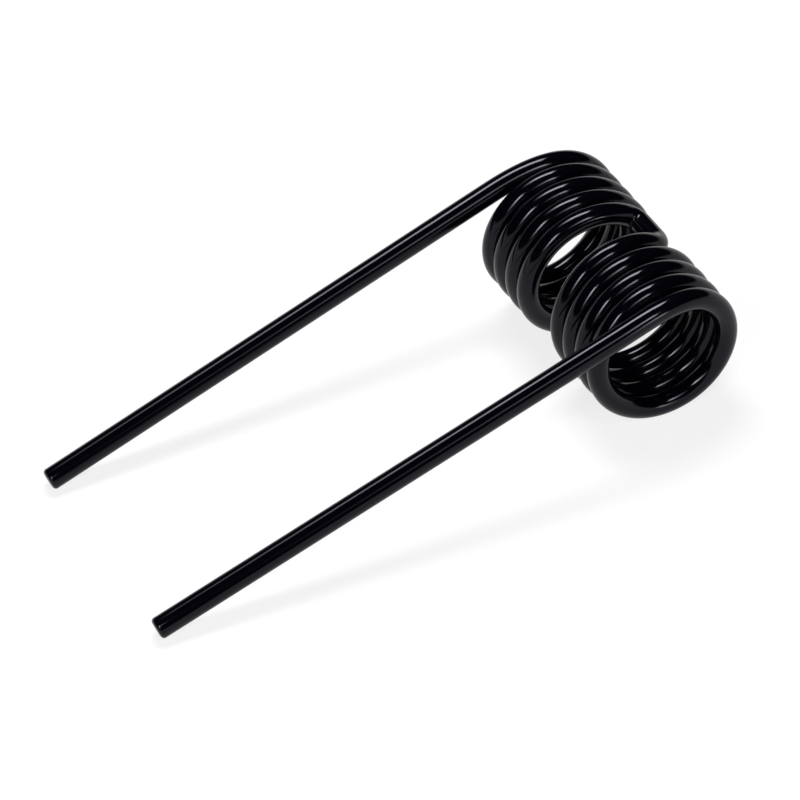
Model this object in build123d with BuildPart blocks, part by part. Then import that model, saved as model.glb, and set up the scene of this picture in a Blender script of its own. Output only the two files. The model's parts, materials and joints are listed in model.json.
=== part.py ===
"""Double torsion spring, bent from one length of round wire.

Two close-wound coils stand side by side on one axis. A short straight bridge joins their inner ends
at the back of the coils, and a long straight leg runs out from the top of each outer end. The spring
lies as it comes to rest: on the underside of both coils and on the tips of both legs.

X runs along the coil axis, the legs reach towards -Y, and +Z is up. The origin is on the surface
that the spring lies on, below the middle of the whole.
"""

import os
from math import asin, atan, atan2, cos, degrees, hypot, pi, radians, sin

from build123d import *

# Wire
wire_diameter = 5.5
tip_round = 0.9  # broken edge round the square-cut ends

# Coils
coil_inner_diameter = 28.0
full_turns = 4
turn_gap = 0.3  # air between neighbouring turns

# Bridge between the coils
bridge_angle = 51.0  # degrees past the top of the coil, on the side away from the legs
bridge_length = 6.2  # straight stretch between the two bends
bend_inner_radius = 0.5

# Legs
leg_length = 138.0  # from the coil's tangent point to the tip
leg_toe_in = 0.75  # degrees that each leg leans towards the other
leg_spread = 0.9  # sideways room between the leg and the turn beside it, over the turn gap
run_in_length = 10.0  # end of the leg that eases into the coil
run_in_angle = 56.0  # degrees of the first turn that the same ease takes up

# Worked out from the sizes above
wire_radius = wire_diameter / 2
coil_radius = coil_inner_diameter / 2 + wire_radius  # to the middle of the wire
pitch = wire_diameter + turn_gap
lead_angle = degrees(atan(pitch / (2 * pi * coil_radius)))
bend_radius = bend_inner_radius + wire_radius
coil_turns = full_turns + bridge_angle / 360
wound_turns = coil_turns - run_in_angle / 360  # true helix, between the bend and the run-in
coil_start = bridge_length / 2 + bend_radius * cos(radians(lead_angle))
leg_offset = coil_start + pitch * coil_turns + leg_spread


def on_coil(angle, offset):
    """Middle of the wire at an angle past the top of the coil and an offset along its axis."""
    return Vector(offset, coil_radius * sin(radians(angle)), coil_radius * cos(radians(angle)))


def outward(angle):
    """Direction away from the coil axis at an angle past the top of the coil."""
    return Vector(0, sin(radians(angle)), cos(radians(angle)))


def resting_slope():
    """Angle of the legs at which the coils and the rounded leg tips stand on one flat surface."""
    reach = leg_length - tip_round
    rise = coil_radius - wire_radius + tip_round
    drop = coil_radius + wire_radius - tip_round
    return degrees(asin(drop / hypot(reach, rise)) + atan2(rise, reach))


# The wire's route is drawn with the coil axis on X and the legs level, from the tip inwards. The
# coils are mirror images, so one side is drawn.
leg_direction = Vector(-sin(radians(leg_toe_in)), -cos(radians(leg_toe_in)), 0)
run_in_start = on_coil(0, leg_offset) + leg_direction * run_in_length

# Along the wire where the run-in becomes the helix: mostly round the axis, and a little inwards
run_in_end = on_coil(run_in_angle, coil_start + pitch * wound_turns)
around = outward(run_in_angle + 90)
run_in_heading = around * cos(radians(lead_angle)) - Vector(sin(radians(lead_angle)), 0, 0)
run_in_handle = (run_in_length + coil_radius * radians(run_in_angle)) / 3

with BuildLine() as run_in:
    Bezier(
        run_in_start,
        run_in_start - leg_direction * run_in_handle,
        run_in_end - run_in_heading * run_in_handle,
        run_in_end,
    )

coil_end = Plane((coil_start, 0, 0), x_dir=outward(bridge_angle), z_dir=(1, 0, 0))
with BuildLine() as coil:
    winding = Helix(pitch, height=pitch * wound_turns, radius=coil_radius, mode=Mode.PRIVATE)
    add(coil_end.from_local_coords(winding))

bend_start = Plane(
    on_coil(bridge_angle, coil_start),
    x_dir=outward(bridge_angle + 90),
    z_dir=outward(bridge_angle),
)
with BuildLine(bend_start) as bend:
    heading = (cos(radians(lead_angle)), sin(radians(lead_angle)))
    JernArc((0, 0), heading, bend_radius, 90 - lead_angle)


def across(path, station):
    """Plane square to a path, at its start (0) or its end (1)."""
    return Plane(path.line @ station, z_dir=path.line % station)


with BuildPart() as level_wire:
    with BuildSketch(Plane(run_in_start, z_dir=leg_direction)):
        Circle(wire_radius)
    extrude(amount=leg_length - run_in_length)
    tip = level_wire.faces().sort_by(Axis.Y)[0]
    fillet(tip.edges(), tip_round)

    for path in (run_in, coil, bend):
        with BuildSketch(across(path, 0)):
            Circle(wire_radius)
        sweep(path=path.line, is_frenet=True)

    with BuildSketch(across(bend, 1)):
        Circle(wire_radius)
    extrude(amount=bridge_length / 2)

    mirror(about=Plane.YZ)

# The finished wire is tipped about the coil axis until the leg tips come down to the surface
slope = radians(resting_slope())
coil_height = coil_radius + wire_radius
legs_reach = leg_length * cos(slope) + coil_height * sin(slope)
lying = Plane(
    (0, (legs_reach - coil_height) / 2, coil_height),
    x_dir=(1, 0, 0),
    z_dir=(0, -sin(slope), cos(slope)),
)
with BuildPart() as spring_wire:
    add(lying.from_local_coords(level_wire.part))

spring_wire.part.label = "spring_wire"

os.makedirs("parts", exist_ok=True)
export_step(spring_wire.part, "parts/spring_wire.step")
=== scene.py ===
"""Looks of the double torsion spring: one black enamelled wire on a plain pale floor.

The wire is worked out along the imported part's own route and stands for its one CAD node.
"""

import json
from math import cos, radians, sin
from typing import NamedTuple

import bpy
import numpy as np
from bpy.props import FloatProperty, FloatVectorProperty, IntProperty, PointerProperty
from mathutils import Matrix, Quaternion, Vector


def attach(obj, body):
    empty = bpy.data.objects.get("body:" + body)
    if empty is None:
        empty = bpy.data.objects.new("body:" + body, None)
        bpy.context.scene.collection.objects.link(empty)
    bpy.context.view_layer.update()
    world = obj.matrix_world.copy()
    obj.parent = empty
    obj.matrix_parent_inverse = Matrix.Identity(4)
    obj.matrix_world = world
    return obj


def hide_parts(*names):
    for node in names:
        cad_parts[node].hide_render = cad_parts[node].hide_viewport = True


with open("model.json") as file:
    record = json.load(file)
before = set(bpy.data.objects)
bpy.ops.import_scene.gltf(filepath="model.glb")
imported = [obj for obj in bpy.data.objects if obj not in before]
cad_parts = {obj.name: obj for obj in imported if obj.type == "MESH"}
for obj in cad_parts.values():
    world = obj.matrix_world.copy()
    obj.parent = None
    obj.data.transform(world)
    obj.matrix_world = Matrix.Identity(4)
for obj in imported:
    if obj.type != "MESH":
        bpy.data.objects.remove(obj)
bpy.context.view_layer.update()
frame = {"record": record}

bl_info = {
    "name": "Double Torsion Spring",
    "version": (1, 0, 0),
    "blender": (4, 5, 0),
    "location": "3D View > Sidebar > Spring",
    "description": "Adds an enamelled double torsion spring and its studio",
    "category": "Add Mesh",
}

CAD_NODE = "spring_wire"
MOUNTS = {mount["name"]: mount for mount in frame["record"]["mounts"]}
COIL_AXIS = np.array(MOUNTS["coil_bore"]["pos_m"], float)
RIGHT_LEG = MOUNTS["right_leg"]
MM = 0.001

# Rings of the mesh
ROUNDING_RINGS = 9  # over the round edge of a cut end
LEG_RINGS = 31
BEND_STEPS = 24
BRIDGE_RINGS = 5  # over half of the bridge
CAP_SHARES = np.array([0.45, 0.85, 0.96])  # of a cut face's radius, for the rings inside it

# Enamel
SPECULAR_LEVEL = 0.27  # share of 8 percent that the gloss reflects head on
COLOUR_DRIFT = 0.25  # how far the colour drifts either way with the flow
ROUGHNESS_DRIFT = 0.2
CUT_ROUGHNESS = 0.22  # added on the cut ends
FLOW_HEIGHT = 0.02 * MM
PEEL_HEIGHT = 0.002 * MM
GRAIN_HEIGHT = 0.02 * MM
COAT_BUMP = 0.5  # strength of the flow's and the peel's bump
GRAIN_BUMP = 0.6

# Floor
FLOOR_DROP = 0.1 * MM  # keeps the floor clear of the wire
FLOOR_FACETS = 96
SHADED_GLOW = 0.78  # the floor's own glow close to the spring, where its shadow shows
SHADED_REACH = 0.1  # how far out the floor keeps that glow
WHITE_REACH = 0.5  # where its glow has grown to white

# Room, by how steeply a line of sight climbs: the sine of its angle
HORIZON_TOP = 0.09  # white up to here
ROOM_BOTTOM = 0.2  # evenly dim from here on
ROOM_GLOW = 0.009


class Strip(NamedTuple):
    """Soft strip lamp, in metres. A radiance of 1 would show as white.

    Its light grows along its length, up to the full share of it.
    """

    place: tuple
    facing: tuple
    along: tuple
    length: float
    width: float
    radiance: float
    full: float


STRIPS = {
    "top_strip": Strip(
        place=(-0.326, 0.017, 0.72),
        facing=(0, 0, -1),
        along=(0.45, 0.89, 0),
        length=0.636,
        width=0.22,
        radiance=13.5,
        full=0.5,
    ),
    "side_strip": Strip(
        place=(0.55, 0.055, 0.54),
        facing=(-1, 0, 0),
        along=(0, 1, 0),
        length=0.41,
        width=0.22,
        radiance=9.5,
        full=0.85,
    ),
    "low_strip": Strip(
        place=(0.55, 0.18, 0.11),
        facing=(-1, 0, 0),
        along=(0, 1, 0),
        length=0.25,
        width=0.12,
        radiance=5.5,
        full=0.8,
    ),
    "front_strip": Strip(
        place=(0.37, -0.343, 0.33),
        facing=(-0.37, 0.403, -0.31),
        along=(0, 0, 1),
        length=0.42,
        width=0.12,
        radiance=14,
        full=0.75,
    ),
}


class SpringWireSizes(bpy.types.PropertyGroup):
    """Sizes of the bent wire."""

    wire_radius: FloatProperty(
        name="Wire radius",
        description="Radius of the round wire",
        default=RIGHT_LEG["dims"]["r_mm"] * MM,
        min=0.0005,
        subtype="DISTANCE",
    )
    tip_round: FloatProperty(
        name="Tip round",
        description="Broken edge round the square-cut ends",
        default=0.9 * MM,
        min=0.1 * MM,
        subtype="DISTANCE",
    )
    coil_inner_radius: FloatProperty(
        name="Coil inner radius",
        description="Radius of the space inside the coils",
        default=14 * MM,
        min=0.001,
        subtype="DISTANCE",
    )
    full_turns: IntProperty(
        name="Full turns",
        description="Whole turns in each coil",
        default=4,
        min=1,
    )
    turn_gap: FloatProperty(
        name="Turn gap",
        description="Air between neighbouring turns",
        default=0.3 * MM,
        min=0.0,
        subtype="DISTANCE",
    )
    bridge_angle: FloatProperty(
        name="Bridge angle",
        description="Where the bridge lies, past the top of the coil",
        default=radians(51),
        subtype="ANGLE",
    )
    bridge_length: FloatProperty(
        name="Bridge length",
        description="Straight stretch between the two bends",
        default=6.2 * MM,
        min=0.0,
        subtype="DISTANCE",
    )
    bend_inner_radius: FloatProperty(
        name="Bend inner radius",
        description="Inside radius of the bend between a coil and the bridge",
        default=0.5 * MM,
        min=0.0,
        subtype="DISTANCE",
    )
    leg_length: FloatProperty(
        name="Leg length",
        description="From the coil's tangent point to the tip",
        default=138 * MM,
        min=0.01,
        subtype="DISTANCE",
    )
    leg_toe_in: FloatProperty(
        name="Leg toe-in",
        description="How far each leg leans towards the other",
        default=radians(0.75),
        subtype="ANGLE",
    )
    leg_spread: FloatProperty(
        name="Leg spread",
        description="Sideways room between a leg and the turn beside it, over the turn gap",
        default=0.9 * MM,
        subtype="DISTANCE",
    )
    run_in_length: FloatProperty(
        name="Run-in length",
        description="End of the leg that eases into the coil",
        default=10 * MM,
        min=0.001,
        subtype="DISTANCE",
    )
    run_in_angle: FloatProperty(
        name="Run-in angle",
        description="Part of the first turn that the same ease takes up",
        default=radians(56),
        subtype="ANGLE",
    )
    leg_slope: FloatProperty(
        name="Leg slope",
        description="How steeply the legs run down to the floor",
        default=float(np.arctan2(-RIGHT_LEG["axis"][2], -RIGHT_LEG["axis"][1])),
        subtype="ANGLE",
    )
    facets_round: IntProperty(
        name="Facets round the wire",
        description="Faces round the wire's section",
        default=48,
        min=8,
        max=64,
    )
    facets_per_turn: IntProperty(
        name="Facets in a turn",
        description="Faces along the wire in one turn of a coil",
        default=140,
        min=24,
        max=200,
    )


class SpringEnamelLook(bpy.types.PropertyGroup):
    """Colour and surface of the enamel."""

    colour: FloatVectorProperty(
        name="Enamel colour",
        description="Colour of the enamel itself, under its gloss",
        default=(0.0009, 0.0008, 0.0024),
        min=0.0,
        max=1.0,
        subtype="COLOR",
    )
    cut_colour: FloatVectorProperty(
        name="Cut colour",
        description="Colour of the thinner enamel on the cut ends",
        default=(0.006, 0.0055, 0.008),
        min=0.0,
        max=1.0,
        subtype="COLOR",
    )
    gloss_tint: FloatVectorProperty(
        name="Gloss tint",
        description="Tint of what the enamel reflects",
        default=(0.88, 0.86, 1.0),
        min=0.0,
        max=1.0,
        subtype="COLOR",
    )
    roughness: FloatProperty(
        name="Roughness",
        description="Mean roughness of the gloss",
        default=0.11,
        min=0.0,
        max=1.0,
        subtype="FACTOR",
    )
    peel_size: FloatProperty(
        name="Peel size",
        description="Width of one dimple of the orange peel in the dried enamel",
        default=0.7 * MM,
        min=0.01 * MM,
        subtype="DISTANCE",
    )
    flow_size: FloatProperty(
        name="Flow size",
        description="Width of one slow wave where the wet enamel flowed",
        default=6 * MM,
        min=0.01 * MM,
        subtype="DISTANCE",
    )
    grain_size: FloatProperty(
        name="Grain size",
        description="Width of one pit of the sheared steel under the enamel of the cut ends",
        default=0.25 * MM,
        min=0.01 * MM,
        subtype="DISTANCE",
    )


class SpringStageLook(bpy.types.PropertyGroup):
    """Floor and camera."""

    floor_colour: FloatVectorProperty(
        name="Floor colour",
        description="Colour of the plain floor",
        default=(0.25, 0.25, 0.25),
        min=0.0,
        max=1.0,
        subtype="COLOR",
    )
    floor_mirrored: FloatProperty(
        name="Floor mirrored",
        description="Share of the floor's own glow that shows in gloss",
        default=0.7,
        min=0.0,
        max=1.0,
        subtype="FACTOR",
    )
    floor_radius: FloatProperty(
        name="Floor radius",
        description="How far the floor reaches",
        default=20.0,
        subtype="DISTANCE",
    )
    camera_place: FloatVectorProperty(
        name="Camera place",
        description="Where the camera stands",
        default=(0.834169, -0.368397, 0.862897),
        subtype="TRANSLATION",
    )
    camera_aim: FloatVectorProperty(
        name="Camera aim",
        description="Point that the camera looks at",
        default=(0.002316, 0.001367, 0.0134),
        subtype="TRANSLATION",
    )
    camera_roll: FloatProperty(
        name="Camera roll",
        description="Turn of the camera about its line of sight",
        default=radians(-6.0983),
        subtype="ANGLE",
    )
    camera_lens: FloatProperty(
        name="Camera lens",
        description="Focal length in millimetres",
        default=234.79,
        min=1.0,
        unit="CAMERA",
    )


# ---------------------------------------------------------------- the wire's route


class Stretch(NamedTuple):
    """Stretch of the wire, ring by ring: the middle, the way along and the way off the axis."""

    middle: np.ndarray
    way: np.ndarray
    out: np.ndarray


def outward(angle):
    """Unit vectors square to the coil axis at angles past the top: sine in Y, cosine in Z."""
    return np.stack([np.zeros_like(angle), np.sin(angle), np.cos(angle)], -1)


def leg_route(size, offset, coil_radius, stations):
    """Straight leg: the tangent point plus the leg's direction times the way left to go.

    Stations are distances from the tip. The way out from the coil axis is straight up.
    """
    way = np.array([sin(size.leg_toe_in), cos(size.leg_toe_in), 0.0])
    tangent_point = np.array([offset, 0.0, coil_radius])
    middle = tangent_point - way * (size.leg_length - stations)[:, None]
    return Stretch(middle, np.tile(way, (len(stations), 1)), outward(np.zeros(len(stations))))


def run_in_route(leg, helix, handle, steps):
    """Cubic Bezier curve from the leg's end to the helix's start, both handles of one length.

    A point at t is the sum of the curve's four control points, weighted by the Bernstein terms
    of t, and the way along is that sum's derivative.
    """
    start, end = leg.middle[-1], helix.middle[0]
    points = np.array([start, start + leg.way[-1] * handle, end - helix.way[0] * handle, end])
    t = np.linspace(0, 1, steps + 1)[:, None]
    s = 1 - t
    weights = np.hstack([s**3, 3 * s**2 * t, 3 * s * t**2, t**3])
    slopes = np.hstack([-3 * s**2, 3 * s**2 - 6 * s * t, 6 * s * t - 3 * t**2, 3 * t**2])
    middle = weights @ points
    return Stretch(middle, slopes @ points, middle * [0, 1, 1])


def helix_route(angles, offsets, coil_radius, lead):
    """Helix: the coil radius times each angle's outward vector, plus an offset along the axis.

    The offset shrinks evenly as the angle grows. The way along is round the axis, turned by the
    lead angle.
    """
    middle = coil_radius * outward(angles) + offsets[:, None] * [1, 0, 0]
    way = outward(angles + np.pi / 2) * cos(lead) - np.array([sin(lead), 0, 0])
    return Stretch(middle, way, outward(angles))


def bend_route(helix, around, lead, radius, steps):
    """Arc of a circle that turns the wire from round the coil to along its axis.

    The centre lies a bend radius inwards, square to the wire. A point is the centre plus the
    radius times cosine and sine of an angle that starts a quarter turn back from the lead.
    The way out stays as it is at the helix's end.
    """
    inwards = np.array([-1.0, 0.0, 0.0])
    centre = helix.middle[-1] + radius * (inwards * cos(lead) - around * sin(lead))
    turn = np.linspace(lead - np.pi / 2, 0, steps + 1)[:, None]
    middle = centre + radius * (np.cos(turn) * around + np.sin(turn) * inwards)
    way = -np.sin(turn) * around + np.cos(turn) * inwards
    return Stretch(middle, way, np.tile(helix.out[-1], (len(middle), 1)))


def bridge_route(bend, rings):
    """Half of the bridge: a straight run along the coil axis, from the bend to the middle."""
    start = bend.middle[-1]
    middle = np.linspace(start, start * [0, 1, 1], rings)
    way = np.tile([-1.0, 0.0, 0.0], (rings, 1))
    return Stretch(middle, way, np.tile(bend.out[-1], (rings, 1)))


def in_one_run(stretches):
    """Stretches joined end to end.

    Each starts where the one before it ends, so its own first ring is left out.
    """
    joined = []
    for first, *others in zip(*stretches):
        joined.append(np.vstack([first, *(other[1:] for other in others)]))
    return Stretch(*joined)


def half_route(size):
    """Half of the wire, from a tip to mid-bridge, and its radius at each ring.

    The coil axis is X and the leg is level. The radius goes down over the last bit of the leg,
    by a quarter circle, to round the cut end.
    """
    coil_radius = size.coil_inner_radius + size.wire_radius
    pitch = 2 * size.wire_radius + size.turn_gap
    lead = float(np.arctan(pitch / (2 * np.pi * coil_radius)))
    bend_radius = size.bend_inner_radius + size.wire_radius
    coil_start = size.bridge_length / 2 + bend_radius * cos(lead)
    last_angle = 2 * np.pi * size.full_turns + size.bridge_angle
    leg_offset = coil_start + pitch * last_angle / (2 * np.pi) + size.leg_spread

    rounding = size.tip_round * (1 - np.cos(np.linspace(0, np.pi / 2, ROUNDING_RINGS)))
    straight = size.leg_length - size.run_in_length
    stations = np.r_[rounding, np.linspace(size.tip_round, straight, LEG_RINGS)[1:]]
    leg = leg_route(size, leg_offset, coil_radius, stations)

    wound = last_angle - size.run_in_angle
    steps = int(round(size.facets_per_turn * wound / (2 * np.pi)))
    angles = np.linspace(size.run_in_angle, last_angle, steps + 1)
    offsets = coil_start + pitch * (last_angle - angles) / (2 * np.pi)
    helix = helix_route(angles, offsets, coil_radius, lead)

    handle = (size.run_in_length + coil_radius * size.run_in_angle) / 3
    run_in = run_in_route(leg, helix, handle, size.facets_per_turn // 3)

    around = outward(np.array([last_angle + np.pi / 2]))[0]
    bend = bend_route(helix, around, lead, bend_radius, BEND_STEPS)
    bridge = bridge_route(bend, BRIDGE_RINGS)
    half = in_one_run([leg, run_in, helix, bend, bridge])

    radius = np.full(len(half.middle), size.wire_radius)
    depth = 1 - rounding / size.tip_round
    radius[: len(rounding)] -= size.tip_round * (1 - np.sqrt(1 - depth**2))
    return half, radius


def whole_route(size):
    """Both halves in one run: the second is the first, mirrored in X and taken backwards."""
    half, radius = half_route(size)
    mirror = np.array([-1.0, 1.0, 1.0])
    mirrored = Stretch(half.middle * mirror, -half.way * mirror, half.out * mirror)
    other_half = Stretch(*(column[::-1] for column in mirrored))
    return in_one_run([half, other_half]), np.r_[radius, radius[-2::-1]]


def lay_down(points, slope):
    """Turns points about the coil axis by the slope and moves them to the axis's place."""
    turn = np.array([[1, 0, 0], [0, cos(slope), -sin(slope)], [0, sin(slope), cos(slope)]])
    return points @ turn.T + COIL_AXIS


def swept_wire(size):
    """Vertices, faces and end marks of a round section carried along the route.

    A vertex is the middle, plus the radius times cosine of an angle towards the way out and
    sine towards the side. Each cut end is closed by smaller rings and a point.
    """
    (middle, way, out), radius = whole_route(size)
    way = way / np.linalg.norm(way, axis=1)[:, None]
    out = out - (out * way).sum(1)[:, None] * way
    out = out / np.linalg.norm(out, axis=1)[:, None]

    cap = radius[0] * CAP_SHARES
    caps = len(cap)
    rings = np.r_[np.zeros(caps, int), np.arange(len(middle)), np.full(caps, len(middle) - 1)]
    middle, way, out = middle[rings], way[rings], out[rings]
    radius = np.r_[cap, radius, cap[::-1]]
    side = np.cross(way, out)

    facets = size.facets_round
    angle = np.linspace(0, 2 * np.pi, facets, endpoint=False)
    rim = np.cos(angle)[:, None] * out[:, None] + np.sin(angle)[:, None] * side[:, None]
    points = (middle[:, None] + radius[:, None, None] * rim).reshape(-1, 3)
    points = np.vstack([points, middle[:1], middle[-1:]])

    count = len(middle)
    ring = np.arange(count - 1)[:, None] * facets
    here = np.arange(facets)[None]
    after = (here + 1) % facets
    quads = np.stack(
        [ring + here, ring + after, ring + facets + after, ring + facets + here], -1
    ).reshape(-1, 4)
    start, end = count * facets, count * facets + 1
    last = (count - 1) * facets
    start_fan = np.stack([np.full(facets, start), after[0], here[0]], -1)
    end_fan = np.stack([np.full(facets, end), last + here[0], last + after[0]], -1)

    marks = np.zeros(len(points))
    marks[: caps * facets] = 1
    marks[(count - caps) * facets :] = 1
    return lay_down(points, size.leg_slope), quads, start_fan, end_fan, marks


def wire_mesh(name, size):
    """Mesh of the swept wire, smooth all over, with its cut faces marked in cut_end."""
    points, quads, start_fan, end_fan, marks = swept_wire(size)
    mesh = bpy.data.meshes.new(name)
    mesh.from_pydata(
        points.tolist(), [], quads.tolist() + start_fan.tolist() + end_fan.tolist()
    )
    mesh.polygons.foreach_set("use_smooth", np.ones(len(mesh.polygons), bool))
    cut = mesh.attributes.new("cut_end", "FLOAT", "POINT")
    cut.data.foreach_set("value", marks.astype(np.float32))
    if mesh.validate():
        raise RuntimeError("the wire's mesh had faults")
    mesh.update()
    return mesh


# ---------------------------------------------------------------- materials


def new_material(name):
    """Empty node material, with its tree and its output."""
    material = bpy.data.materials.new(name)
    material.use_nodes = True
    tree = material.node_tree
    tree.nodes.clear()
    return material, tree, tree.nodes.new("ShaderNodeOutputMaterial")


def noise(tree, place, size, detail):
    """Noise factor with features about one size wide, and finer layers up to the detail."""
    node = tree.nodes.new("ShaderNodeTexNoise")
    node.inputs["Scale"].default_value = 1 / size
    node.inputs["Detail"].default_value = detail
    tree.links.new(place, node.inputs["Vector"])
    return node.outputs["Fac"]


def ramp(tree, value, start, end, low, high, course="LINEAR"):
    """Low up to the start, high from the end on, and between them along a line or a soft step."""
    node = tree.nodes.new("ShaderNodeMapRange")
    node.interpolation_type = course
    node.inputs["From Min"].default_value = start
    node.inputs["From Max"].default_value = end
    node.inputs["To Min"].default_value = low
    node.inputs["To Max"].default_value = high
    tree.links.new(value, node.inputs["Value"])
    return node.outputs["Result"]


def mix(tree, share, first, second):
    """Colour from the first to the second by a share."""
    node = tree.nodes.new("ShaderNodeMix")
    node.data_type = "RGBA"
    for name, colour in (("A_Color", first), ("B_Color", second)):
        socket = next(item for item in node.inputs if item.identifier == name)
        if isinstance(colour, bpy.types.NodeSocket):
            tree.links.new(colour, socket)
        else:
            socket.default_value = (*colour, 1)
    tree.links.new(share, node.inputs[0])
    return next(item for item in node.outputs if item.identifier == "Result_Color")


def arithmetic(tree, operation, first, second):
    """Sum, product or the like of a value and a value or number."""
    node = tree.nodes.new("ShaderNodeMath")
    node.operation = operation
    tree.links.new(first, node.inputs[0])
    if isinstance(second, bpy.types.NodeSocket):
        tree.links.new(second, node.inputs[1])
    else:
        node.inputs[1].default_value = second
    return node.outputs["Value"]


def bump(tree, height, distance, strength, before=None):
    """Bump of a height field, over any bump before it."""
    node = tree.nodes.new("ShaderNodeBump")
    node.inputs["Distance"].default_value = distance
    node.inputs["Strength"].default_value = strength
    tree.links.new(height, node.inputs["Height"])
    if before is not None:
        tree.links.new(before, node.inputs["Normal"])
    return node.outputs["Normal"]


def enamel_material(look):
    """Gloss black enamel: slow flow waves and fine peel, and thin enamel over grainy cut ends.

    Colour and roughness drift with the flow. On a cut end the roughness is higher and the grain
    of the sheared steel shows through.
    """
    material, tree, output = new_material("black_enamel")
    shader = tree.nodes.new("ShaderNodeBsdfPrincipled")
    tree.links.new(shader.outputs["BSDF"], output.inputs["Surface"])
    place = tree.nodes.new("ShaderNodeTexCoord").outputs["Object"]
    attribute = tree.nodes.new("ShaderNodeAttribute")
    attribute.attribute_name = "cut_end"
    cut = attribute.outputs["Fac"]

    flow = noise(tree, place, look.flow_size, detail=2)
    peel = noise(tree, place, look.peel_size, detail=3)
    grain = noise(tree, place, look.grain_size, detail=2)
    light = [channel * (1 + COLOUR_DRIFT) for channel in look.colour]
    dark = [channel * (1 - COLOUR_DRIFT) for channel in look.colour]
    coated = mix(tree, flow, light, dark)
    tree.links.new(mix(tree, cut, coated, look.cut_colour), shader.inputs["Base Color"])
    shader.inputs["Specular IOR Level"].default_value = SPECULAR_LEVEL
    shader.inputs["Specular Tint"].default_value = (*look.gloss_tint, 1)

    smooth = look.roughness * (1 - ROUGHNESS_DRIFT)
    rough = look.roughness * (1 + ROUGHNESS_DRIFT)
    coat_roughness = ramp(tree, flow, 0, 1, smooth, rough)
    cut_roughness = arithmetic(tree, "MULTIPLY", cut, CUT_ROUGHNESS)
    roughness = arithmetic(tree, "ADD", coat_roughness, cut_roughness)
    tree.links.new(roughness, shader.inputs["Roughness"])

    waves = bump(tree, flow, FLOW_HEIGHT, COAT_BUMP)
    dimples = bump(tree, peel, PEEL_HEIGHT, COAT_BUMP, waves)
    cut_grain = arithmetic(tree, "MULTIPLY", grain, cut)
    pits = bump(tree, cut_grain, GRAIN_HEIGHT, GRAIN_BUMP, dimples)
    tree.links.new(pits, shader.inputs["Normal"])
    return material


def floor_material(look):
    """Plain pale floor: the spring's shadow shows near it, and a glow makes it white further out.

    The glow shows straight on, through glass and, by a share, in gloss. It lights nothing else.
    """
    material, tree, output = new_material("plain_floor")
    diffuse = tree.nodes.new("ShaderNodeBsdfDiffuse")
    diffuse.inputs["Color"].default_value = (*look.floor_colour, 1)
    glow = tree.nodes.new("ShaderNodeEmission")
    both = tree.nodes.new("ShaderNodeAddShader")
    tree.links.new(diffuse.outputs["BSDF"], both.inputs[0])
    tree.links.new(glow.outputs["Emission"], both.inputs[1])
    tree.links.new(both.outputs["Shader"], output.inputs["Surface"])

    place = tree.nodes.new("ShaderNodeTexCoord").outputs["Object"]
    length = tree.nodes.new("ShaderNodeVectorMath")
    length.operation = "LENGTH"
    tree.links.new(place, length.inputs[0])
    distance = length.outputs["Value"]
    level = ramp(tree, distance, SHADED_REACH, WHITE_REACH, SHADED_GLOW, 1, "SMOOTHSTEP")

    seen = tree.nodes.new("ShaderNodeLightPath").outputs
    mirrored = arithmetic(tree, "MULTIPLY", seen["Is Glossy Ray"], look.floor_mirrored)
    direct = arithmetic(tree, "MAXIMUM", seen["Is Camera Ray"], seen["Is Transmission Ray"])
    shown = arithmetic(tree, "MAXIMUM", direct, mirrored)
    tree.links.new(arithmetic(tree, "MULTIPLY", level, shown), glow.inputs["Strength"])
    return material


# ---------------------------------------------------------------- stage


def floor_mesh(radius):
    """Flat round floor: points at a radius times cosine and sine of even angles."""
    angle = np.linspace(0, 2 * np.pi, FLOOR_FACETS, endpoint=False)
    flat = np.zeros_like(angle)
    points = np.stack([np.cos(angle) * radius, np.sin(angle) * radius, flat], -1)
    mesh = bpy.data.meshes.new("floor")
    mesh.from_pydata(points.tolist(), [], [list(range(len(points)))])
    mesh.update()
    return mesh


def add_lamp(name, strip):
    """Rectangular area lamp for a strip. Its energy is four times its radiance times its area.

    Its brightness grows from nothing at the first end, with the square of the way along, and is
    the stated one from the full share of the length on.
    """
    data = bpy.data.lights.new(name, "AREA")
    data.shape = "RECTANGLE"
    data.size, data.size_y = strip.length, strip.width
    data.energy = 4 * strip.radiance * strip.length * strip.width

    data.use_nodes = True
    tree = data.node_tree
    tree.nodes.clear()
    glow = tree.nodes.new("ShaderNodeEmission")
    parts = tree.nodes.new("ShaderNodeSeparateXYZ")
    geometry = tree.nodes.new("ShaderNodeNewGeometry")
    tree.links.new(geometry.outputs["Parametric"], parts.inputs["Vector"])
    share = ramp(tree, parts.outputs["X"], 0, strip.full, 0, 1)
    tree.links.new(arithmetic(tree, "POWER", share, 2), glow.inputs["Strength"])
    output = tree.nodes.new("ShaderNodeOutputLight")
    tree.links.new(glow.outputs["Emission"], output.inputs["Surface"])

    back = -Vector(strip.facing).normalized()
    along = Vector(strip.along)
    right = (along - along.dot(back) * back).normalized()
    turn = Matrix((right, back.cross(right), back)).transposed()
    lamp = bpy.data.objects.new(name, data)
    lamp.matrix_world = Matrix.Translation(strip.place) @ turn.to_4x4()
    lamp.visible_camera = False
    bpy.context.scene.collection.objects.link(lamp)


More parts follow.
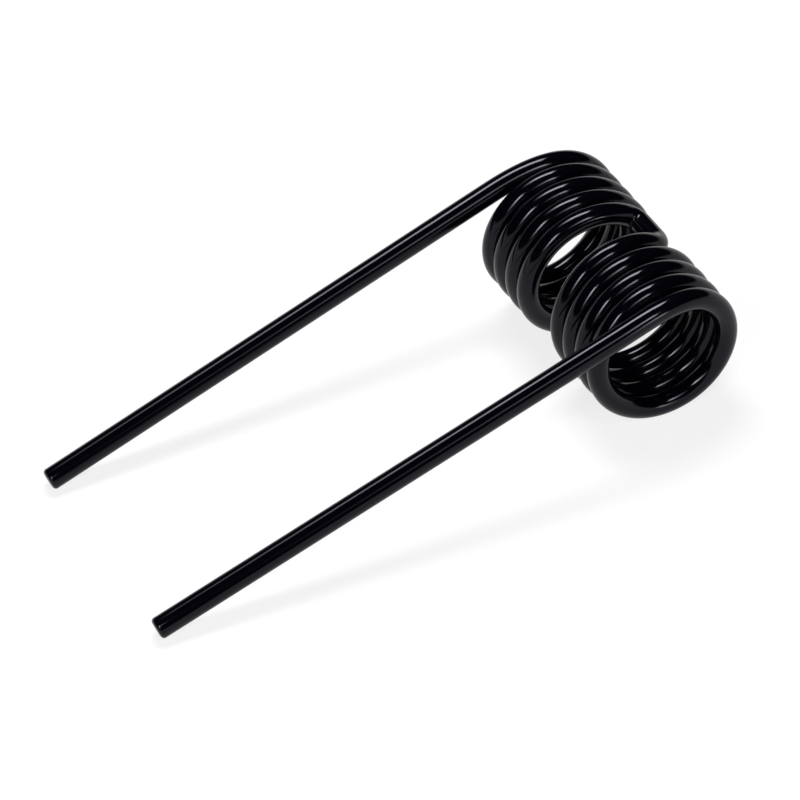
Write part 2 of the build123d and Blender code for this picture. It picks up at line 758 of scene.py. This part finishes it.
def add_world():
    """Dim room with a pale band at the horizon, where a low camera looks past the floor."""
    world = bpy.data.worlds.new("studio")
    bpy.context.scene.world = world
    world.use_nodes = True
    tree = world.node_tree
    tree.nodes.clear()
    output = tree.nodes.new("ShaderNodeOutputWorld")
    glow = tree.nodes.new("ShaderNodeBackground")
    tree.links.new(glow.outputs["Background"], output.inputs["Surface"])
    way = tree.nodes.new("ShaderNodeTexCoord").outputs["Generated"]
    parts = tree.nodes.new("ShaderNodeSeparateXYZ")
    tree.links.new(way, parts.inputs["Vector"])
    climb = parts.outputs["Z"]
    level = ramp(tree, climb, HORIZON_TOP, ROOM_BOTTOM, 1, ROOM_GLOW, "SMOOTHSTEP")
    tree.links.new(level, glow.inputs["Strength"])


def add_camera(look):
    """Camera at its place, turned to its aim and rolled about its line of sight."""
    data = bpy.data.cameras.new("camera")
    data.lens = look.camera_lens
    camera = bpy.data.objects.new("camera", data)
    place, aim = Vector(look.camera_place), Vector(look.camera_aim)
    camera.location = place
    camera.rotation_mode = "QUATERNION"
    level = (aim - place).to_track_quat("-Z", "Y")
    camera.rotation_quaternion = level @ Quaternion((0, 0, 1), look.camera_roll)
    bpy.context.scene.collection.objects.link(camera)
    bpy.context.scene.camera = camera


# ---------------------------------------------------------------- operators


class SPRING_OT_wire(bpy.types.Operator):
    """Add the enamelled wire, which stands for the CAD wire"""

    bl_idname = "spring.wire"
    bl_label = "Enamelled wire"

    def execute(self, context):
        scene = context.scene
        wire = bpy.data.objects.new(
            "enamelled_wire", wire_mesh("enamelled_wire", scene.spring_sizes)
        )
        wire.data.materials.append(enamel_material(scene.spring_enamel))
        scene.collection.objects.link(wire)
        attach(wire, "root")
        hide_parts(CAD_NODE)
        return {"FINISHED"}


class SPRING_OT_stage(bpy.types.Operator):
    """Add the floor, the lamps, the room and the camera"""

    bl_idname = "spring.stage"
    bl_label = "Stage"

    def execute(self, context):
        look = context.scene.spring_stage
        floor = bpy.data.objects.new("floor", floor_mesh(look.floor_radius))
        floor.location.z = -FLOOR_DROP
        floor.data.materials.append(floor_material(look))
        context.scene.collection.objects.link(floor)
        for name, strip in STRIPS.items():
            add_lamp(name, strip)
        add_world()
        add_camera(look)
        context.scene.view_settings.view_transform = "Standard"
        return {"FINISHED"}


class SPRING_PT_panel(bpy.types.Panel):
    """Buttons and sizes in the sidebar"""

    bl_idname = "SPRING_PT_panel"
    bl_label = "Double Torsion Spring"
    bl_space_type = "VIEW_3D"
    bl_region_type = "UI"
    bl_category = "Spring"

    def draw(self, context):
        layout = self.layout
        scene = context.scene
        for group in (scene.spring_sizes, scene.spring_enamel, scene.spring_stage):
            column = layout.column(align=True)
            for name in group.__annotations__:
                column.prop(group, name)
        layout.operator(SPRING_OT_wire.bl_idname)
        layout.operator(SPRING_OT_stage.bl_idname)


CLASSES = (
    SpringWireSizes,
    SpringEnamelLook,
    SpringStageLook,
    SPRING_OT_wire,
    SPRING_OT_stage,
    SPRING_PT_panel,
)


def register():
    for item in CLASSES:
        bpy.utils.register_class(item)
    bpy.types.Scene.spring_sizes = PointerProperty(type=SpringWireSizes)
    bpy.types.Scene.spring_enamel = PointerProperty(type=SpringEnamelLook)
    bpy.types.Scene.spring_stage = PointerProperty(type=SpringStageLook)


def unregister():
    del bpy.types.Scene.spring_stage
    del bpy.types.Scene.spring_enamel
    del bpy.types.Scene.spring_sizes
    for item in reversed(CLASSES):
        bpy.utils.unregister_class(item)


def main():
    register()
    bpy.ops.spring.wire()
    bpy.ops.spring.stage()


if __name__ == "__main__":
    main()
